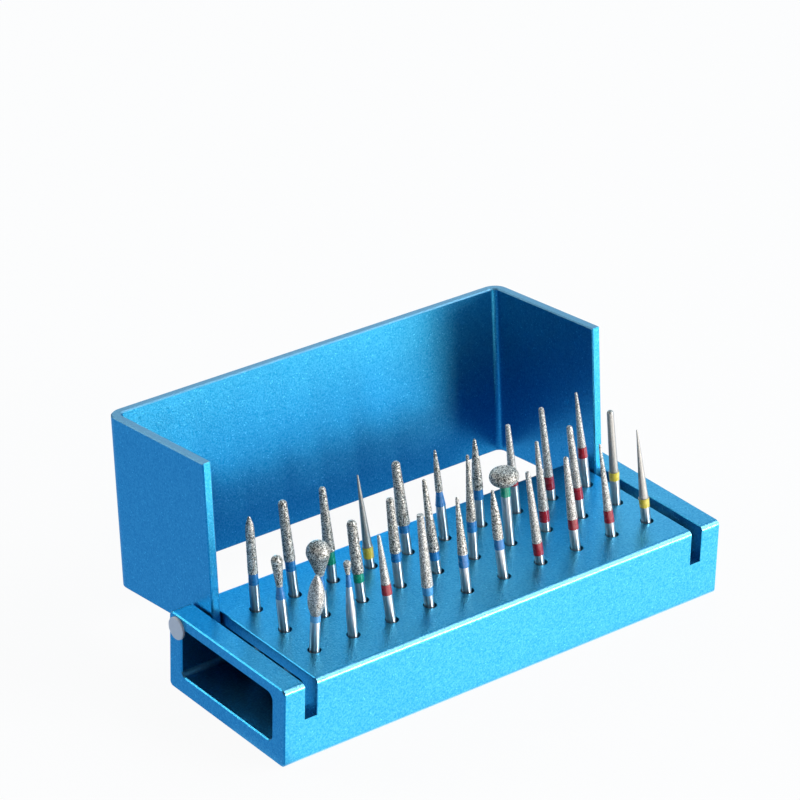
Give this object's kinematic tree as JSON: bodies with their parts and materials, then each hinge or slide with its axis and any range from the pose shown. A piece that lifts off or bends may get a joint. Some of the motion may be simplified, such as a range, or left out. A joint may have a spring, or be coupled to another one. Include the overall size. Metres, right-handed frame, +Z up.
{
  "type": "dental bur block",
  "caption": "Hollow anodised aluminium bur holder with diamond burs standing in its drilled deck and a U-shaped cover hinged along the back.",
  "frame": {"origin": "middle of the base's underside", "axes": "+X along the block to the right as seen from the front, +Y from the front towards the hinge, +Z up"},
  "size_m": [0.0888, 0.0531, 0.0392],
  "materials": {
    "blue_anodised_base": "blue anodised over fine bead blasting",
    "blue_anodised_cover": "blue anodised over fine bead blasting, paler on the cut edges",
    "pin_steel": "dull turned steel",
    "bur_steel": "bright ground steel shank, painted grit band, diamond-coated head"
  },
  "bodies": {
    "base": {"base_block": "blue_anodised_base", "hinge_pin_left": "pin_steel", "hinge_pin_right": "pin_steel", "bur_front_1": "bur_steel", "bur_front_2": "bur_steel", "bur_front_3": "bur_steel", "bur_front_4": "bur_steel", "bur_front_5": "bur_steel", "bur_front_6": "bur_steel", "bur_front_7": "bur_steel", "bur_front_8": "bur_steel", "bur_front_9": "bur_steel", "bur_front_10": "bur_steel", "bur_middle_1": "bur_steel", "bur_middle_2": "bur_steel", "bur_middle_3": "bur_steel", "bur_middle_4": "bur_steel", "bur_middle_5": "bur_steel", "bur_middle_6": "bur_steel", "bur_middle_7": "bur_steel", "bur_middle_8": "bur_steel", "bur_middle_9": "bur_steel", "bur_middle_10": "bur_steel", "bur_back_1": "bur_steel", "bur_back_2": "bur_steel", "bur_back_3": "bur_steel", "bur_back_4": "bur_steel", "bur_back_5": "bur_steel", "bur_back_6": "bur_steel", "bur_back_7": "bur_steel", "bur_back_8": "bur_steel", "bur_back_9": "bur_steel", "bur_back_10": "bur_steel"},
    "cover": {"cover": "blue_anodised_cover"}
  },
  "joints": [
    {"name": "cover_hinge", "type": "hinge", "parent": "base", "child": "cover", "pos_m": [0, 0.01275, 0.0113], "axis": [1, 0, 0], "range_deg": [-18, 95.6]}
  ]
}
